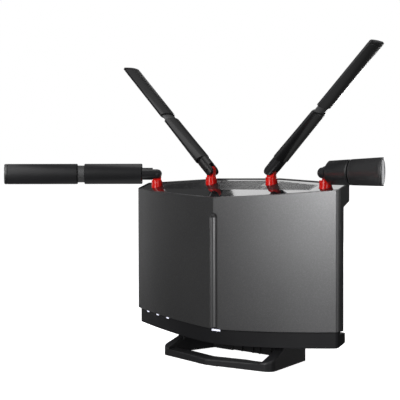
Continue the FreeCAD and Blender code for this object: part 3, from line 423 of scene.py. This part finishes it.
# The flat socket's contacts lie on its tongue's underside, at these places across and along Y.
FLAT_SPOTS, FLAT_BENDS = (-3.5, -1.0, 1.0, 3.5), (-12.8, -9.0, -5.0, -3.4, -2.6)
FLAT_RISE, FLAT_RADIUS = 0.14, 0.3


def build_contacts():
    """Eight sprung contact wires in each network socket, and four in the flat one."""
    wires = []
    for place in jack_places():
        for step in range(WIRES):
            x = (step - (WIRES - 1) / 2) * WIRE_PITCH
            path = [place + Vector((x, y, z)) * MM for y, z in WIRE_BENDS]
            wires.append(wire(path, WIRE_RADIUS))
    build_piece("network_contacts", wires, "tinned_steel", "housing")
    low, high = (Vector(corner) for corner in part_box("usb_port"))
    face = Vector(((low.x + high.x) / 2, high.y, (low.z + high.z) / 2))
    flat = []
    for x in FLAT_SPOTS:
        path = [face + Vector((x, y, FLAT_RISE)) * MM for y in FLAT_BENDS]
        flat.append(wire(path, FLAT_RADIUS))
    build_piece("flat_socket_contacts", flat, "tinned_steel", "housing")


# Half of a liner's outline across and up, and its sections from its back, out over its lip and
# in again, all in mm and shares.
LINER_HALF = [(5.87, -4.37), (5.87, 3.57), (3.07, 3.57), (3.07, 5.17)]
LINER_LEVELS = [(1.0, -11.9), (1.0, -0.35), (0.985, -0.2), (0.955, -0.35), (0.95, -11.6)]


def build_liners():
    """A black moulded liner in each network socket, open in front, with the latch's notch."""
    outline = LINER_HALF + [(-x, z) for x, z in reversed(LINER_HALF)]
    liners = []
    for place in jack_places():
        rim = [place + Vector((x, 0, z)) * MM for x, z in outline]
        liners.append(stack(rim, place, Y_AXIS, LINER_LEVELS))
    build_piece("network_liners", liners, "black_plastic", "housing")


LAMP_SIDES, LAMP_LEVELS = 24, [(1.0, -0.3), (1.0, 0.05), (0.9, 0.13), (0.6, 0.16)]
LAMP_SPOTS, LAMP_RISE = (-5.2, 5.2), 5.3


def build_link_lamps():
    """Two small pill-shaped windows at the top of each network socket's face."""
    half_long, radius = 0.7, 0.62
    pill = []
    for step in range(LAMP_SIDES):
        turn = math.tau * (step + 0.5) / LAMP_SIDES
        shift = half_long if math.cos(turn) > 0 else -half_long
        pill.append(Vector((shift + radius * math.cos(turn), 0, radius * math.sin(turn))) * MM)
    lamps = []
    for place in jack_places():
        for x in LAMP_SPOTS:
            centre = place + Vector((x, 0, LAMP_RISE)) * MM
            rim = [centre + point for point in pill]
            lamps.append(stack(rim, centre, Y_AXIS, LAMP_LEVELS))
    build_piece("link_lamps", lamps, "light_lens", "housing")


# ---------------------------------------------------------------------------------------------
# Stage


FLOOR_HALF, FLOOR_GLOW = 20, 0.97


def build_floor():
    """A wide pale floor that shades only faintly under the stand."""
    mesh = bpy.data.meshes.new("floor")
    shape = bmesh.new()
    bmesh.ops.create_grid(shape, x_segments=8, y_segments=8, size=FLOOR_HALF)
    shape.to_mesh(mesh)
    shape.free()
    look = Shading("floor")
    tint = look.mix(look.noise(3, 1), (0.8, 0.8, 0.8), (0.84, 0.84, 0.84))
    look.put(Base_Color=tint, Roughness=0.9, Specular_IOR_Level=0.0)
    look.put(Emission_Color=(1, 1, 1), Emission_Strength=FLOOR_GLOW)
    floor = show("floor", mesh, look.material)
    floor.visible_glossy = False
    floor.visible_diffuse = False


# The room's light overhead and below, as a ramp over the direction's height: where it starts and
# ends, and its strength at both.
OVERHEAD, BELOW = (0.62, 0.95, 0.0, 0.5), (-0.95, -0.6, 0.7, 0.09)


def build_world():
    """White to the camera; for the light it gives, a dim room, brighter overhead and below."""
    world = bpy.data.worlds.new("Studio")
    bpy.context.scene.world = world
    world.use_nodes = True
    tree = world.node_tree
    tree.nodes.clear()
    link = tree.links.new
    place = tree.nodes.new("ShaderNodeTexCoord")
    split = tree.nodes.new("ShaderNodeSeparateXYZ")
    link(place.outputs["Generated"], split.inputs[0])
    height = tree.nodes.new("ShaderNodeMapRange")
    link(split.outputs["Z"], height.inputs["Value"])
    steep = tree.nodes.new("ShaderNodeMapRange")
    link(split.outputs["Z"], steep.inputs["Value"])
    for ramp, numbers in ((height, OVERHEAD), (steep, BELOW)):
        for name, number in zip(("From Min", "From Max", "To Min", "To Max"), numbers):
            ramp.inputs[name].default_value = number
    both = tree.nodes.new("ShaderNodeMath")
    link(height.outputs[0], both.inputs[0])
    link(steep.outputs[0], both.inputs[1])
    room = tree.nodes.new("ShaderNodeBackground")
    link(both.outputs[0], room.inputs["Strength"])
    white = tree.nodes.new("ShaderNodeBackground")
    white.inputs["Strength"].default_value = 1.0
    for shade in (room, white):
        shade.inputs["Color"].default_value = (1, 1, 1, 1)
    path = tree.nodes.new("ShaderNodeLightPath")
    choose = tree.nodes.new("ShaderNodeMixShader")
    link(path.outputs["Is Camera Ray"], choose.inputs[0])
    link(room.outputs[0], choose.inputs[1])
    link(white.outputs[0], choose.inputs[2])
    out = tree.nodes.new("ShaderNodeOutputWorld")
    link(choose.outputs[0], out.inputs["Surface"])


LIGHT_TARGET = 0.15


def softbox(name, azimuth, elevation, distance, width, height, radiance):
    """A rectangular light round the object. Azimuth 0 is in front of it and 90 at its right."""
    target = Vector((0, 0, LIGHT_TARGET))
    turn, lift = math.radians(azimuth), math.radians(elevation)
    out = Vector((math.sin(turn) * math.cos(lift), -math.cos(turn) * math.cos(lift),
                  math.sin(lift)))
    lamp = bpy.data.lights.new(name, "AREA")
    lamp.shape = "RECTANGLE"
    lamp.size = width
    lamp.size_y = height
    lamp.energy = radiance * math.pi * width * height
    item = bpy.data.objects.new(name, lamp)
    item.location = target + out * distance
    item.rotation_mode = "QUATERNION"
    item.rotation_quaternion = (-out).to_track_quat("-Z", "Y")
    item.visible_camera = False
    bpy.context.scene.collection.objects.link(item)


build_end_plates()
build_contacts()
build_liners()
build_link_lamps()
build_floor()
build_world()
# A bank of lights in front, brighter to the right, and single ones for the other faces.
for index, radiance in enumerate((0.5, 1.1, 4.2, 21.0)):
    softbox(f"front_{index}", 12 * index - 34, 15.5, 1.9, 0.4, 0.9, radiance)
softbox("corner", 63, 6, 1.9, 0.7, 0.8, 2.9)
softbox("left", -91, 5, 1.8, 0.4, 1.0, 3.0)
softbox("roof_reflection", -140.8, 28.3, 2.4, 0.535, 0.6, 1.65)
softbox("side", 128, 6, 2.2, 0.7, 0.7, 0.9)
softbox("rear", 187, 4, 2.0, 1.1, 0.5, 8.0)
softbox("top", 10, 82, 1.6, 1.2, 1.0, 1.2)
bpy.context.scene.view_settings.view_transform = "Standard"
